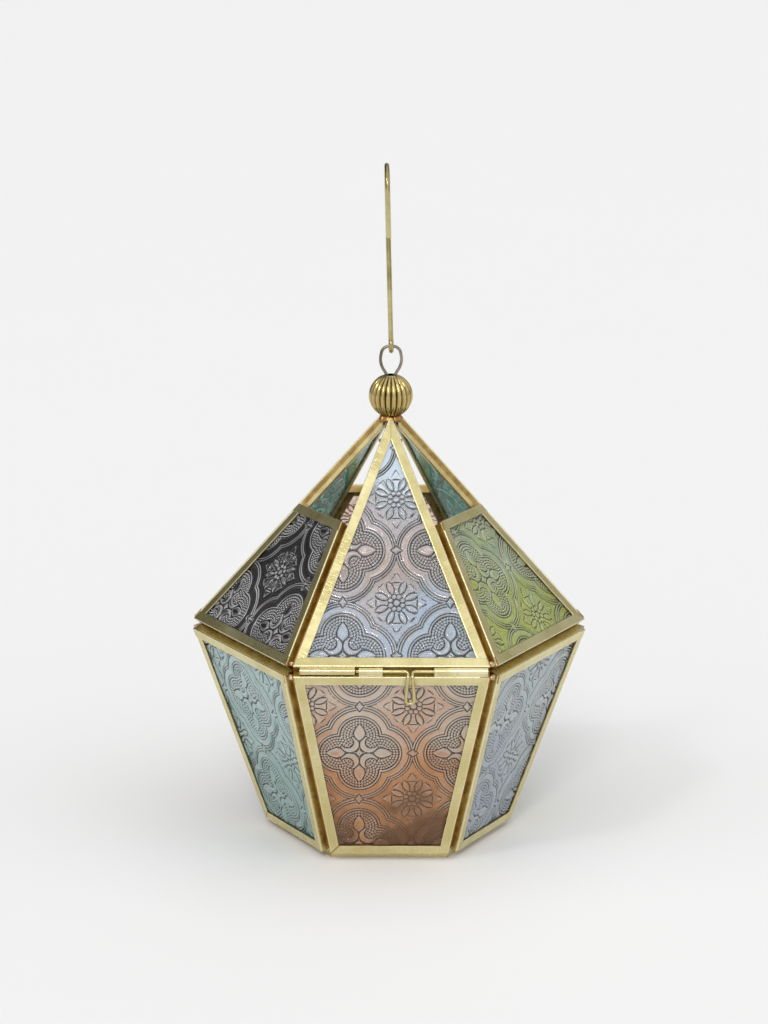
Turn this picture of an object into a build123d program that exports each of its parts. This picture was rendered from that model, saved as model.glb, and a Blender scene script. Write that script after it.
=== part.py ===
from build123d import *
import os
from math import asin, atan2, cos, degrees, radians, sin

# A hexagonal Moroccan lantern of pressed-glass panes in brass channel, with a hinged roof.
# Millimetres, +Z up, +X right, -Y front. The origin is under the middle of the floor.
# Every pane is framed by its own folded brass channel. Neighbouring frames touch along their
# inner edges only, so a V-shaped groove runs along each seam on the outside.

# ---- Driving dimensions ----
RIM_R = 87.0              # corner radius where the walls meet the roof, on the inner faces
FOOT_R = 53.7             # corner radius where the walls meet the floor, on the inner faces
FLOOR_TOP = 4.8           # height of the inner faces' bottom edge
WALL_RISE = 93.1          # height of the walls
LID_GAP = 0.4             # daylight between the walls and the closed roof
ROOF_RISE = 97.6          # height of the roof, rim to apex, on the inner faces
SHORT_PANEL = 0.56        # how far up the slope the three short roof panels reach

WEB = 4.8                 # depth of the folded channel, inner face to outer face
FLANGE = 4.4              # width of the channel's two side strips
SHEET = 0.5               # brass thickness of the channel
PANE_T = 3.6              # glass thickness
PANE_INSET = 0.75         # glass edge to the channel's outline
FLOOR_SHEET = 1.2         # brass sheet that the candle stands on
SEAM_LEG = 1.3            # how far solder fills each V-groove
SEAM_END = 2.0            # solder stops this short of a groove's two ends
FOOT_SEAM_END = 2.5       # and in the grooves round the floor
PANE_BLUNT = 2.2          # a tall pane stops this many flange widths before its tip

TUBE_R = 1.7              # hinge and latch tubes
TUBE_GAP = 0.3            # tube to the frame that it isn't soldered to
LATCH_BORE_R = 1.0        # loose fit round the bolt
HINGE_BORE_R = 0.82       # running fit round the hinge pin
WIRE_R = 0.75             # hinge pin and sliding bolt
SADDLE_IN = 1.2           # solder bed under a tube, towards the groove's bottom
SADDLE_OUT = 1.0          # and towards its mouth
SADDLE_LAP = 0.15         # least brass left between that bed and the bore

RECEIVER = (-40.5, -16.3)      # X span of the lid's tube, which the bolt slides into
SHORT_GUIDE = (-14.5, -4.0)    # X spans of the bolt's two tubes on the walls
LONG_GUIDE = (18.8, 42.5)
BOLT_TIP_X = -15.8             # bolt's left end, between the receiver and the short guide
BOLT_END_X = 34.0
LOOP_X = 8.2                   # middle of the bolt's thumb loop
LOOP_NECK = 1.0                # half the distance between the loop's legs at its neck
LOOP_BELLY = 2.05              # and at its round bottom
LOOP_OUT = 2.2                 # how far the legs come out of the groove before they hang
LOOP_HANG = 0.6                # how far out the bottom hangs
LOOP_DROP = 14.7               # bolt's axis to the loop's bottom
BOLT_BENDS = [1.4, 2.0, 1.85]  # bend radii from the rod to the loop's bottom

KNUCKLE_HALF = 9.0             # half the lid's hinge knuckle
KNUCKLE_GAP = 0.4
KNUCKLE_END = 24.0             # outer end of the walls' two knuckles
PIN_HEAD_R = 1.35
PIN_HEAD_T = 0.6
PIN_PLAY = 0.1

BALL_R = 10.1                  # fluted finial ball
BALL_Z = 206.5
BALL_SEAT_Z = 197.3            # flat underside of the ball
BALL_TOP_Z = 216.2             # flat rim round the ball's top hole
HOLE_R = 2.9                   # hole down the ball and its collar
FLUTES = 22
FLUTE_R = 0.95
FLUTE_DEPTH = 0.45
COLLAR_Z = 195.0               # underside of the collar, where the rafters' tips are cut level
COLLAR_R = 7.2
COLLAR_TOP_R = 5.6
TIP_CLEAR_R = 3.3              # the rafters' tips stop short of the eye's legs

EYE_WIRE_R = 0.7
EYE_TOP_Z = 229.4              # wire centre at the top of the eye, where the hook turns
EYE_NECK = 1.9                 # half the distance between the eye's legs in the hole
EYE_SIDE = (5.3, 221.6)        # widest corner of the eye's outline before rounding
EYE_SHOULDER = 3.8
EYE_FOOT_Z = 185.5             # legs are spread here, inside the roof
EYE_FOOT_X = 5.4
EYE_BENDS = [1.2, 4.0, 9.0, 3.8]   # bend radii from the foot to the shoulder

HOOK_WIRE_R = 1.15
CURL_R = 2.75                  # small closed end, round the eye
CURL_Z = 230.0
CURL_END = 130.0               # angle of the curl's free end from +Y, over the top
BEND_R = 10.5                  # large open end
BEND_Z = 301.35
TIP_DROP = 20.5                # straight free end below the bend
HOOK_LEAN = 1.7                # sideways lean of the hook

SIDES = ["back_right", "back", "back_left", "front_left", "front", "front_right"]
TALL_ROOF_SIDES = ["back_right", "back_left", "front"]   # glazed up to the apex

RIM_Z = FLOOR_TOP + WALL_RISE
EAVES_Z = RIM_Z + LID_GAP
APEX = Vector(0, 0, EAVES_Z + ROOF_RISE)


# ---- Geometry shared by all panels ----
def corner(radius, z, k):
    """Corner k of a hexagon, counted from +X towards the back."""
    angle = radians(60 * k)
    return Vector(radius * cos(angle), radius * sin(angle), z)


def panel_plane(points):
    """Plane of a panel's inner face: X along its bottom edge, Z outwards."""
    along = points[1] - points[0]
    normal = along.cross(points[2] - points[1]).normalized()
    return Plane(origin=points[0], x_dir=along, z_dir=normal)


def inset(points, distance):
    """The outline of a convex counter-clockwise polygon, moved inwards on every side."""
    count = len(points)
    moved = []
    for i in range(count):
        before, here, after = points[i - 1], points[i], points[(i + 1) % count]
        first = (here - before).normalized()
        second = (after - here).normalized()
        half_turn = radians(first.get_angle(second)) / 2
        inwards = Vector(-first.Y - second.Y, first.X + second.X, 0).normalized()
        moved.append(here + inwards * (distance / cos(half_turn)))
    return moved


def slab(outline, low, high):
    """Prism on a local outline, between two local heights."""
    face = Polygon(*[(p.X, p.Y) for p in outline], align=None)
    return Pos(0, 0, low) * extrude(face, amount=high - low)


def channel_frame(outline):
    """Folded channel round a panel: a web outside, a flange on each face, open towards the glass."""
    blank = slab(outline, 0, WEB)
    window = slab(inset(outline, FLANGE), -WEB, 2 * WEB)
    pocket = slab(inset(outline, SHEET), SHEET, WEB - SHEET)
    return blank - window - pocket


def glass_pane(outline):
    middle = WEB / 2
    return slab(inset(outline, PANE_INSET), middle - PANE_T / 2, middle + PANE_T / 2)


def groove_seam(start, end, normal_a, normal_b, trim):
    """Solder in the bottom of the V-groove between two panels that share an edge."""
    along = (end - start).normalized()
    first = start + along * trim
    length = (end - start).length - 2 * trim
    section = Plane(origin=first, x_dir=normal_a, z_dir=along)
    second_leg = section.to_local_coords(first + normal_b * SEAM_LEG)
    triangle = Polygon((0, 0), (SEAM_LEG, 0), (second_leg.X, second_leg.Y), align=None)
    return section * extrude(triangle, amount=length)


def wall_points(k):
    return [
        corner(FOOT_R, FLOOR_TOP, k),
        corner(FOOT_R, FLOOR_TOP, k + 1),
        corner(RIM_R, RIM_Z, k + 1),
        corner(RIM_R, RIM_Z, k),
    ]


def roof_points(k):
    low_a = corner(RIM_R, EAVES_Z, k)
    low_b = corner(RIM_R, EAVES_Z, k + 1)
    if SIDES[k] in TALL_ROOF_SIDES:
        return [low_a, low_b, APEX]
    high_b = low_b + (APEX - low_b) * SHORT_PANEL
    high_a = low_a + (APEX - low_a) * SHORT_PANEL
    return [low_a, low_b, high_b, high_a]


def local_outline(points, plane):
    return [plane.to_local_coords(p) for p in points]


WALL_PLANES = [panel_plane(wall_points(k)) for k in range(6)]
ROOF_PLANES = [panel_plane(roof_points(k)) for k in range(6)]


def wall_frame(k):
    return WALL_PLANES[k] * channel_frame(local_outline(wall_points(k), WALL_PLANES[k]))


def wall_pane(k):
    return WALL_PLANES[k] * glass_pane(local_outline(wall_points(k), WALL_PLANES[k]))


def tip_cutter():
    """Space over and round the apex that the collar and the eye's legs need."""
    above = Pos(0, 0, COLLAR_Z + BALL_R / 2) * Box(4 * BALL_R, 4 * BALL_R, BALL_R)
    around = Pos(0, 0, COLLAR_Z) * Cylinder(TIP_CLEAR_R, 2 * (COLLAR_Z - EYE_FOOT_Z + BALL_R))
    return above + around


def roof_frame(k):
    frame = ROOF_PLANES[k] * channel_frame(local_outline(roof_points(k), ROOF_PLANES[k]))
    if SIDES[k] in TALL_ROOF_SIDES:
        frame = frame - tip_cutter()
    return frame


def roof_pane(k):
    """Roof glass. A tall pane is blunt where its two rafters close in on it."""
    outline = inset(local_outline(roof_points(k), ROOF_PLANES[k]), PANE_INSET)
    if SIDES[k] in TALL_ROOF_SIDES:
        left, right, tip = outline
        blunt = 1 - PANE_BLUNT * FLANGE / (tip - left).length
        outline = [left, right, right + (tip - right) * blunt, left + (tip - left) * blunt]
    middle = WEB / 2
    return ROOF_PLANES[k] * slab(outline, middle - PANE_T / 2, middle + PANE_T / 2)


# ---- Floor ----
def floor_outline():
    """Seen from below, so that the panel's outside is down."""
    corners = [corner(FOOT_R, 0, k) for k in range(6)]
    return [Vector(c.X, -c.Y, 0) for c in reversed(corners)]


FLOOR_PLANE = Plane(origin=(0, 0, FLOOR_TOP), x_dir=(1, 0, 0), z_dir=(0, 0, -1))


def floor_frame():
    return FLOOR_PLANE * channel_frame(floor_outline())


def floor_plate():
    """Brass sheet lying on the floor channel's lower flange."""
    depth = WEB - SHEET
    return FLOOR_PLANE * slab(inset(floor_outline(), PANE_INSET), depth - FLOOR_SHEET, depth)


# ---- Solder seams ----
def base_seams():
    down = Vector(0, 0, -1)
    seams = []
    for k in range(6):
        normal = WALL_PLANES[k].z_dir
        before = WALL_PLANES[k - 1].z_dir
        foot_a = corner(FOOT_R, FLOOR_TOP, k)
        foot_b = corner(FOOT_R, FLOOR_TOP, k + 1)
        rim_a = corner(RIM_R, RIM_Z, k)
        seams.append(groove_seam(foot_a, rim_a, before, normal, SEAM_END))
        seams.append(groove_seam(foot_a, foot_b, normal, down, FOOT_SEAM_END))
    return seams


def roof_seams():
    """One along each ridge, as far up as the short panel beside it."""
    seams = []
    for k in range(6):
        low = corner(RIM_R, EAVES_Z, k)
        high = low + (APEX - low) * SHORT_PANEL
        seams.append(groove_seam(low, high, ROOF_PLANES[k - 1].z_dir, ROOF_PLANES[k].z_dir, SEAM_END))
    return seams


# ---- Tubes in the groove between the walls and the roof ----
# In that groove "out" is away from the lantern's middle, and "up" is +Z.
RIM_APOTHEM = RIM_R * cos(radians(30))
FOOT_APOTHEM = FOOT_R * cos(radians(30))
WALL_WEB_ANGLE = -degrees(atan2(RIM_APOTHEM - FOOT_APOTHEM, WALL_RISE))
ROOF_WEB_ANGLE = 90 - degrees(atan2(ROOF_RISE, RIM_APOTHEM))
HALF_GROOVE = (ROOF_WEB_ANGLE - WALL_WEB_ANGLE) / 2
GROOVE_ANGLE = (ROOF_WEB_ANGLE + WALL_WEB_ANGLE) / 2
AXIS_REACH = (TUBE_R + TUBE_GAP) / sin(radians(HALF_GROOVE))
AXIS_OUT = RIM_APOTHEM + AXIS_REACH * cos(radians(GROOVE_ANGLE))
AXIS_Z = RIM_Z + LID_GAP / 2 + AXIS_REACH * sin(radians(GROOVE_ANGLE))


def groove_tube(x_span, side, on_roof, bore_r):
    """A tube along X, soldered to the roof or the walls; side is -1 in front, 1 at the back."""
    angle = ROOF_WEB_ANGLE if on_roof else WALL_WEB_ANGLE
    root_z = EAVES_Z if on_roof else RIM_Z
    inwards = -1 if on_roof else 1
    along = (cos(radians(angle)), sin(radians(angle)))
    towards_tube = (-along[1] * inwards, along[0] * inwards)
    from_root = (AXIS_OUT - RIM_APOTHEM, AXIS_Z - root_z)
    reach = from_root[0] * along[0] + from_root[1] * along[1]
    top = from_root[0] * towards_tube[0] + from_root[1] * towards_tube[1] - bore_r - SADDLE_LAP
    corners = []
    for a, b in ((-SADDLE_IN, 0), (SADDLE_OUT, 0), (SADDLE_OUT, top), (-SADDLE_IN, top)):
        out = RIM_APOTHEM + (reach + a) * along[0] + b * towards_tube[0]
        up = root_z + (reach + a) * along[1] + b * towards_tube[1]
        corners.append((side * out, up))
    start = Plane.YZ.offset(x_span[0])
    length = x_span[1] - x_span[0]
    axis = Pos(side * AXIS_OUT, AXIS_Z)
    tube = extrude(start * axis * Circle(TUBE_R), amount=length, dir=(1, 0, 0))
    saddle = extrude(start * Polygon(*corners, align=None), amount=length, dir=(1, 0, 0))
    bore = extrude(start * axis * Circle(bore_r), amount=length, dir=(1, 0, 0))
    return tube + saddle - bore


def hinge_pin():
    """Wire through the three knuckles, with its ends peened over."""
    reach = KNUCKLE_END + PIN_HEAD_T + PIN_PLAY
    pin = Cylinder(WIRE_R, 2 * reach)
    for end in (-1, 1):
        pin += Pos(0, 0, end * (reach - PIN_HEAD_T / 2)) * Cylinder(PIN_HEAD_R, PIN_HEAD_T)
    return Pos(0, AXIS_OUT, AXIS_Z) * Rot(0, 90, 0) * pin


def slide_bolt():
    """One wire: a rod in both guides, bent out into a hanging thumb loop between them."""
    def at(x, out, up):
        return (x, -AXIS_OUT - out, AXIS_Z + up)

    route = FilletPolyline(
        at(BOLT_TIP_X, 0, 0),
        at(LOOP_X - LOOP_NECK, 0, 0),
        at(LOOP_X - LOOP_NECK, LOOP_OUT, -LOOP_OUT),
        at(LOOP_X - LOOP_BELLY, LOOP_HANG, -LOOP_DROP),
        at(LOOP_X + LOOP_BELLY, LOOP_HANG, -LOOP_DROP),
        at(LOOP_X + LOOP_NECK, LOOP_OUT, -LOOP_OUT),
        at(LOOP_X + LOOP_NECK, 0, 0),
        at(BOLT_END_X, 0, 0),
        radius=BOLT_BENDS + BOLT_BENDS[::-1],
    )
    return sweep(Plane(route @ 0, z_dir=route % 0) * Circle(WIRE_R), path=route)


# ---- Finial, eye and hook ----
def apex_collar():
    """Solder cone on the rafters' cut tips, under the ball."""
    height = BALL_SEAT_Z - COLLAR_Z
    cone = Cone(COLLAR_R, COLLAR_TOP_R, height) - Cylinder(HOLE_R, 3 * height)
    return Pos(0, 0, COLLAR_Z + height / 2) * cone


def finial_ball():
    ball = Sphere(BALL_R)
    for i in range(FLUTES // 2):
        ring = Torus(BALL_R + FLUTE_R - FLUTE_DEPTH, FLUTE_R)
        ball -= Rot(0, 0, 360 * i / FLUTES) * Rot(90, 0, 0) * ring
    ball -= Cylinder(HOLE_R, 4 * BALL_R)
    low = Pos(0, 0, BALL_SEAT_Z - BALL_Z - BALL_R) * Box(3 * BALL_R, 3 * BALL_R, 2 * BALL_R)
    high = Pos(0, 0, BALL_TOP_Z - BALL_Z + BALL_R) * Box(3 * BALL_R, 3 * BALL_R, 2 * BALL_R)
    return Pos(0, 0, BALL_Z) * (ball - low - high)


def eye_loop():
    """Steel wire eye: its two legs run down the ball and are spread inside the roof."""
    right = [
        (EYE_FOOT_X, EYE_FOOT_Z),
        (EYE_NECK, EYE_FOOT_Z),
        (EYE_NECK, BALL_TOP_Z),
        EYE_SIDE,
        (EYE_SHOULDER, EYE_TOP_Z),
    ]
    points = [(x, 0, z) for x, z in right] + [(-x, 0, z) for x, z in reversed(right)]
    route = FilletPolyline(*points, radius=EYE_BENDS + EYE_BENDS[::-1])
    return sweep(Plane(route @ 0, z_dir=route % 0) * Circle(EYE_WIRE_R), path=route)


def hanging_hook():
    """Wire hook: a small curl round the eye, a straight shank, and a large bend open to the front."""
    lean = degrees(asin((BEND_R - CURL_R) / (BEND_Z - CURL_Z)))

    def on_circle(radius, z, angle):
        return (0, radius * cos(radians(angle)), z + radius * sin(radians(angle)))

    curl = Plane.YZ * CenterArc((0, CURL_Z), CURL_R, CURL_END, 360 - CURL_END - lean)
    shank = Line(on_circle(CURL_R, CURL_Z, -lean), on_circle(BEND_R, BEND_Z, -lean))
    bend = Plane.YZ * CenterArc((0, BEND_Z), BEND_R, -lean, 180 + lean)
    free_end = Line((0, -BEND_R, BEND_Z), (0, -BEND_R, BEND_Z - TIP_DROP))
    route = Wire([curl.edge(), shank.edge(), bend.edge(), free_end.edge()])
    hook = sweep(Plane(route @ 0, z_dir=route % 0) * Circle(HOOK_WIRE_R), path=route)
    return Pos(0, 0, EYE_TOP_Z) * Rot(0, -HOOK_LEAN, 0) * Pos(0, 0, -EYE_TOP_Z) * hook


# ---- All nodes ----
KNUCKLE_START = KNUCKLE_HALF + KNUCKLE_GAP
nodes = {
    "floor_frame": floor_frame(),
    "floor_plate": floor_plate(),
    "base_solder_seams": Compound(children=base_seams()),
    "latch_guide_short": groove_tube(SHORT_GUIDE, -1, False, LATCH_BORE_R),
    "latch_guide_long": groove_tube(LONG_GUIDE, -1, False, LATCH_BORE_R),
    "hinge_knuckle_left": groove_tube((-KNUCKLE_END, -KNUCKLE_START), 1, False, HINGE_BORE_R),
    "hinge_knuckle_right": groove_tube((KNUCKLE_START, KNUCKLE_END), 1, False, HINGE_BORE_R),
    "hinge_pin": hinge_pin(),
    "roof_solder_seams": Compound(children=roof_seams()),
    "latch_receiver": groove_tube(RECEIVER, -1, True, LATCH_BORE_R),
    "hinge_knuckle_middle": groove_tube((-KNUCKLE_HALF, KNUCKLE_HALF), 1, True, HINGE_BORE_R),
    "apex_collar": apex_collar(),
    "finial_ball": finial_ball(),
    "slide_bolt": slide_bolt(),
    "eye_loop": eye_loop(),
    "hanging_hook": hanging_hook(),
}
for side_index, side_name in enumerate(SIDES):
    nodes["base_frame_" + side_name] = wall_frame(side_index)
    nodes["base_pane_" + side_name] = wall_pane(side_index)
    nodes["roof_frame_" + side_name] = roof_frame(side_index)
    nodes["roof_pane_" + side_name] = roof_pane(side_index)

os.makedirs("parts", exist_ok=True)
for node_name, shape in nodes.items():
    export_step(shape, os.path.join("parts", node_name + ".step"))

print("groove axis: out", round(AXIS_OUT, 3), "up", round(AXIS_Z, 3))
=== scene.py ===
"""Looks of the hexagonal glass lantern, built round its CAD frame. Lengths are in mm unless said."""
import math

import bmesh
import bpy
import numpy as np
from mathutils import Matrix, Vector


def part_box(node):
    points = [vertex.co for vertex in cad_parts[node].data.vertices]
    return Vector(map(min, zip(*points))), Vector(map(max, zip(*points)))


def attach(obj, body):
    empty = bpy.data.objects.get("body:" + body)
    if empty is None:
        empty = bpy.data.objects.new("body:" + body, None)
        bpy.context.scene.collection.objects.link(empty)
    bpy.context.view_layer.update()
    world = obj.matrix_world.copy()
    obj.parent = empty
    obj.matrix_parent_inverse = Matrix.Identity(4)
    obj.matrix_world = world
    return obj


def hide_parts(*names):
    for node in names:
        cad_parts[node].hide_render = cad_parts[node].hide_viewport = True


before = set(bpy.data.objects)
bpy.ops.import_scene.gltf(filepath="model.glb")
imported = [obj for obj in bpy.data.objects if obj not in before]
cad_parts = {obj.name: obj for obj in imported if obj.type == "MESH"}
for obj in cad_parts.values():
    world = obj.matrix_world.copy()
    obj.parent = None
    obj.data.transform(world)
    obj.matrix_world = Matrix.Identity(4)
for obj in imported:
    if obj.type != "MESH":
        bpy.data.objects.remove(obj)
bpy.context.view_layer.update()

MM = 0.001
SIDES = ["back_right", "back", "back_left", "front_left", "front", "front_right"]

# Folded brass channel
FLANGE = 4.4             # how far its outer face covers the pane
BACK_FLANGE = 3.3        # how far its inner face does
SHEET = 0.5              # thickness of the sheet
FOLD_R = 0.42            # the fold's outer radius
LAP_LIFT = 0.3           # how much higher a rail lies that laps over its neighbours
LID_DROP = 0.5           # the lid's bottom rails hang lower by this, which closes the light gap
STATION = 1.6            # distance between sections along a rail
LIP_WAVE = 0.07          # the flange's edge wanders by this
DENT = 0.045             # and its face is dented by this
CHANNEL_EDGE = 38        # a fold sharper than this many degrees stays sharp
CLEAN_GROOVE = 0.45      # grime in the groove between walls and roof, which is cleaner than the others
FLOOR_GRIME = 0.1        # and on the floor's channel, which is cleaner still

# What is taken off a rail's two ends, where the last sections at an end lie, and how dark the painted
# # shade on those is, standing in for the shadow where rails meet
RAIL_TRIM = (0.04, 0.04)
RAIL_END = (0, 0.22, 0.6)
END_SHADE = (1.0, 0.7, 0.0)

# The rafters' webs are two-toned above the short panes: from what height, split at what share of their
# depth, and how grimy inside and outside of that, against 1 elsewhere
HIGH_UP = 70.0
WEB_SPLIT = 0.6
WEB_INNER = 0.3
WEB_OUTER = 1.7

# The rafters' tips are cut level under the ball and kept clear of the eye's legs
TIP_TOP = 197.2
TIP_CLEAR = 3.35

# Pressed glass
PATTERN = 50.0           # pitch at which the pattern's shapes are given
PATTERN_ACROSS = 47.8    # its real pitch across a pane
PATTERN_UP = 50.6        # and up it
RELIEF = 1.05            # height of the relief
GLASS_SUNK = 1.55        # the glass's outer face lies this far behind the channel's
GLASS_BACK = 4.2         # and its inner face this far
GLASS_MARGIN = 0.45      # the patterned part goes this far under the flange
PANE_CELLS = 88000       # faces in the patterned part
WAVE = 0.10              # the sheet's own unevenness, and how long its waves are
WAVE_ACROSS = 7.3
WAVE_UP = 8.9
FADE = 0.35              # the relief dies away over this distance at the flange
BLUR_CELLS = 3           # the relief stands out against its mean over this many cells each way
FOOT_RISE = 95.0         # painted shade at the foot, and the stain, are graded from this height down to a pane's foot

# Ball and collar
BALL_CENTRE = 206.5
BALL_HOLE = 2.9
BALL_STEPS = 72
BALL_EDGE = 60           # a fold sharper than this many degrees stays sharp
FLUTES = 22
FLUTE_DEEP = 0.95
FLUTE_FADE = 2.2         # the flutes fade out over this height at the ball's ends
FLUTE_POWER = 0.8        # under 1, the ribs are round and the grooves narrow

# Solder lumps at the rim's corners: how far out past the corner, how far above the rim, and their radii,
# from and to
CORNER_R = 87.0
RIM_Z = 97.9
RIM_LUMPS = {"base": (1.7, -2.6, (1.5, 1.9)), "lid": (1.0, 3.4, (1.3, 1.7))}
LUMP_FLATNESS = np.array([1.0, 1.0, 0.9])


# ---------------------------------------------------------------- mesh helpers
def new_object(name, verts, faces, body, material):
    """A mesh object from points in mm, riding on a body."""
    mesh = bpy.data.meshes.new(name)
    mesh.from_pydata((np.asarray(verts) * MM).tolist(), [], faces)
    mesh.materials.append(material)
    made = bpy.data.objects.new(name, mesh)
    bpy.context.scene.collection.objects.link(made)
    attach(made, body)
    return made


def shade_smooth(mesh, edge=None):
    """Smooth shading; folds sharper than edge, in degrees, stay sharp."""
    mesh.polygons.foreach_set("use_smooth", [True] * len(mesh.polygons))
    if edge is not None:
        mesh.set_sharp_from_angle(angle=math.radians(edge))


def point_attribute(mesh, name, values):
    mesh.attributes.new(name, "FLOAT", "POINT").data.foreach_set("value", np.asarray(values, np.float32))


def corner_uv(mesh, name, uv):
    """Writes a UV map, in mm, from one (u, v) per vertex."""
    loops = np.empty(len(mesh.loops), np.int32)
    mesh.loops.foreach_get("vertex_index", loops)
    layer = mesh.uv_layers.new(name=name)
    layer.data.foreach_set("uv", np.asarray(uv, np.float32)[loops].ravel())


def unit(v):
    v = np.asarray(v, float)
    return v / np.linalg.norm(v)


def level_way(degrees):
    """Unit vector in the level plane."""
    return np.array([math.cos(math.radians(degrees)), math.sin(math.radians(degrees))])


def fix_normals(mesh):
    work = bmesh.new()
    work.from_mesh(mesh)
    bmesh.ops.recalc_face_normals(work, faces=work.faces)
    work.to_mesh(mesh)
    work.free()


def wander(t, rng, waves):
    """A smooth random line over t (mm), from sines of the given wavelengths; about -1 to 1."""
    total = np.zeros_like(t)
    for wave in waves:
        total += np.sin(2 * math.pi * t / wave + rng.uniform(0, 2 * math.pi))
    return total / len(waves)


# ---------------------------------------------------------------- panels
def cad_points(node):
    """Corners of a CAD node's mesh, in mm."""
    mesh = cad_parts[node].data
    flat = np.empty(3 * len(mesh.vertices), np.float32)
    mesh.vertices.foreach_get("co", flat)
    return flat.reshape(-1, 3).astype(float) / MM


def meet(p, d, q, e):
    """Where the line from p along d meets the line from q along e, in 2-D."""
    s = np.linalg.solve(np.array([d, -np.asarray(e)]).T, np.asarray(q) - p)
    return p + s[0] * np.asarray(d)


class Panel:
    """Axes and outline of one glazed panel, read from its pane's and its frame's CAD nodes.

    Local coordinates: u across to the right as seen from outside, v up the panel from the middle
    of its bottom edge, w outwards from the frame's outer face."""

    def __init__(self, group, side):
        glass = np.unique(np.round(cad_points(f"{group}_pane_{side}"), 2), axis=0)
        metal = cad_points(f"{group}_frame_{side}")
        middle = glass.mean(0)
        normal = np.linalg.svd(glass - middle)[2][2]
        if normal @ np.array([middle[0], middle[1], 0]) < 0:
            normal = -normal
        self.normal = normal
        self.across = unit(np.cross([0, 0, 1], normal))
        self.up = np.cross(normal, self.across)
        self.face = (metal @ normal).max()
        self.depth = self.face - (metal @ normal).min()
        uv = np.stack([glass @ self.across, glass @ self.up], 1)
        low, high = uv[:, 1].min(), uv[:, 1].max()
        band = 0.5
        bottom, top = uv[uv[:, 1] < low + band], uv[uv[:, 1] > high - band]
        left_foot, right_foot = bottom[bottom[:, 0].argmin()], bottom[bottom[:, 0].argmax()]
        left_head, right_head = top[top[:, 0].argmin()], top[top[:, 0].argmax()]
        edge = low - (metal @ self.up).min()
        self.tall = (metal @ self.up).max() - high > 3 * edge
        self.origin = np.array([(left_foot[0] + right_foot[0]) / 2, low - edge])
        left, right = unit(left_head - left_foot), unit(right_head - right_foot)
        left_at = left_foot + edge * np.array([-left[1], left[0]])
        right_at = right_foot - edge * np.array([-right[1], right[0]])
        base = np.array([0, low - edge])
        flat = np.array([1.0, 0.0])
        corners = [meet(left_at, left, base, flat), meet(right_at, right, base, flat)]
        if self.tall:
            corners.append(meet(left_at, left, right_at, right))
        else:
            ceiling = np.array([0, high + edge])
            corners += [meet(right_at, right, ceiling, flat), meet(left_at, left, ceiling, flat)]
        self.outline = [c - self.origin for c in corners]
        self.glass_low, self.glass_high = low - self.origin[1], high - self.origin[1]
        self.edge = edge

    def place(self, u, v, w):
        """Local coordinates to points in the frame, in mm."""
        u, v, w = np.broadcast_arrays(u, v, w)
        return (
            (u + self.origin[0])[..., None] * self.across
            + (v + self.origin[1])[..., None] * self.up
            + (w + self.face)[..., None] * self.normal
        )

    def side_u(self, v, left, inset):
        """u of the left or right edge at height v, moved inwards."""
        foot = self.outline[0] if left else self.outline[1]
        head = self.outline[-1] if left else self.outline[2]
        run = unit(head - foot)
        u = foot[0] + (v - foot[1]) * run[0] / run[1]
        return u + inset / run[1] * (1 if left else -1)


# ---------------------------------------------------------------- folded channels
def channel_section(depth, lift):
    """Closed section of a channel: how far inwards, how high, how worn and how strong its painted
    highlight, and how grimy, at each point.
    """
    points = [(FLANGE, lift - 0.2, 0.7, 0.2), (FLANGE - 0.06, lift - 0.06, 1.0, 0)]
    points += [(FLANGE - 0.2, lift, 0.7, 0), (FLANGE - 0.7, lift, 0.0, 0)]
    points += [(FLANGE / 2, lift - 0.03, 0.0, 0), (FOLD_R + 0.35, lift, 0.1, 0)]
    for i in range(6):
        turn = math.radians(90 + 18 * i)
        across, up = FOLD_R + FOLD_R * math.cos(turn), lift - FOLD_R + FOLD_R * math.sin(turn)
        points.append((across, up, 1.0, 0.0))
    points += [(0.0, -depth * 0.2, 0.2, 0.6), (0.0, -depth * 0.5, 0.0, 1.0)]
    points += [(0.0, -depth * 0.65, 0.0, 1.0), (0.0, 0.15 - depth, 0.0, 1.0)]
    points += [(0.15, -depth, 0.0, 0.9), (1.2, -depth, 0.0, 0.8)]
    points += [(BACK_FLANGE - 0.2, -depth, 0.3, 0.8), (BACK_FLANGE, 0.15 - depth, 0.4, 0.7)]
    points += [(BACK_FLANGE, SHEET - depth, 0.2, 0.7), (BACK_FLANGE / 2, SHEET - depth, 0.0, 0.8)]
    points += [(SHEET, SHEET - depth, 0.0, 0.8), (SHEET, -SHEET, 0.0, 0.8)]
    points += [(FLANGE / 2, -SHEET, 0.0, 0.8), (FLANGE, -SHEET, 0.2, 0.8)]
    return np.array(points)


def no_parts():
    """Where the rails of one object are gathered, with what is painted on their points."""
    return {"verts": [], "faces": [], "uv": [], "wear_and_highlight": [], "grime": [], "tone": []}


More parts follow.
